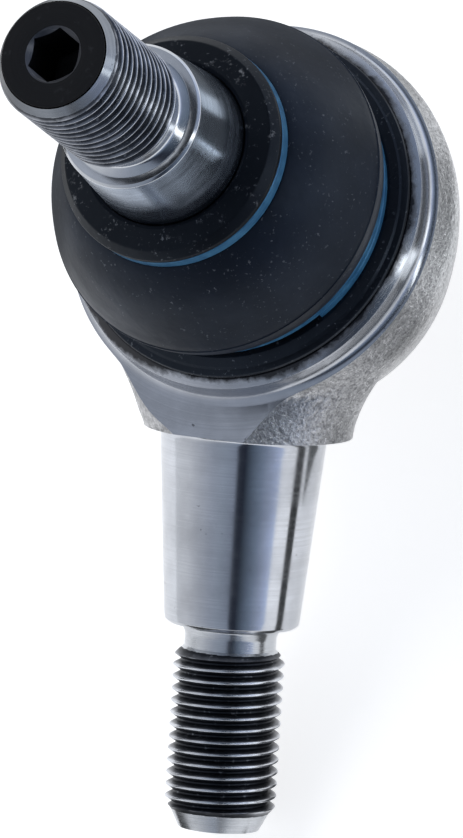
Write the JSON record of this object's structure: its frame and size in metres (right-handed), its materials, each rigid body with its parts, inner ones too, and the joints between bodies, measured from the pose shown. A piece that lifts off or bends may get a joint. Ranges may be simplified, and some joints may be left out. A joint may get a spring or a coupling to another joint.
{
  "type": "suspension ball joint",
  "caption": "Booted ball joint: a ball stud with taper and thread swivels in a forged housing that has its own taper shank and thread.",
  "frame": {"origin": "the ball's centre, where both joint axes and the shank's axis cross", "axes": "+Z along the ball stud towards its thread, the shank in the XZ plane towards +X and leaning 22 degrees down"},
  "size_m": [0.0976, 0.05, 0.0999],
  "materials": {
    "forged_steel": "shot-blasted forging, turned bright on the rim and the shank",
    "turned_steel": "ground taper, rolled thread, darkened end face",
    "bearing_plastic": "moulded bearing plastic",
    "spring_steel": "hardened spring steel",
    "pressed_steel": "pressed steel, plated",
    "seal_rubber": "smooth nitrile rubber",
    "boot_rubber": "satin black rubber with pale dust",
    "blue_clamp": "blue coated strip"
  },
  "bodies": {
    "housing": {"housing": "forged_steel", "shell_upper": "bearing_plastic", "shell_lower": "bearing_plastic", "preload_spring": "spring_steel", "cover_plate": "pressed_steel", "cover_seal": "seal_rubber", "clamp_lower": "blue_clamp"},
    "boot_fold": {"boot_lower": "boot_rubber"},
    "boot_neck": {"boot_upper": "boot_rubber", "neck_insert": "pressed_steel", "clamp_upper": "blue_clamp"},
    "ball_stud": {"ball_stud": "turned_steel"}
  },
  "joints": [
    {"name": "tilt_x", "type": "hinge", "parent": "housing", "child": "boot_fold", "pos_m": [0, 0, 0], "axis": [1, 0, 0], "range_deg": [-18, 18], "deforming": ["boot_lower", "boot_upper"]},
    {"name": "tilt_y", "type": "hinge", "parent": "boot_fold", "child": "boot_neck", "pos_m": [0, 0, 0], "axis": [0, 1, 0], "range_deg": [-18, 18]},
    {"name": "stud_spin", "type": "hinge", "parent": "boot_neck", "child": "ball_stud", "pos_m": [0, 0, 0], "axis": [0, 0, 1], "continuous": true}
  ]
}
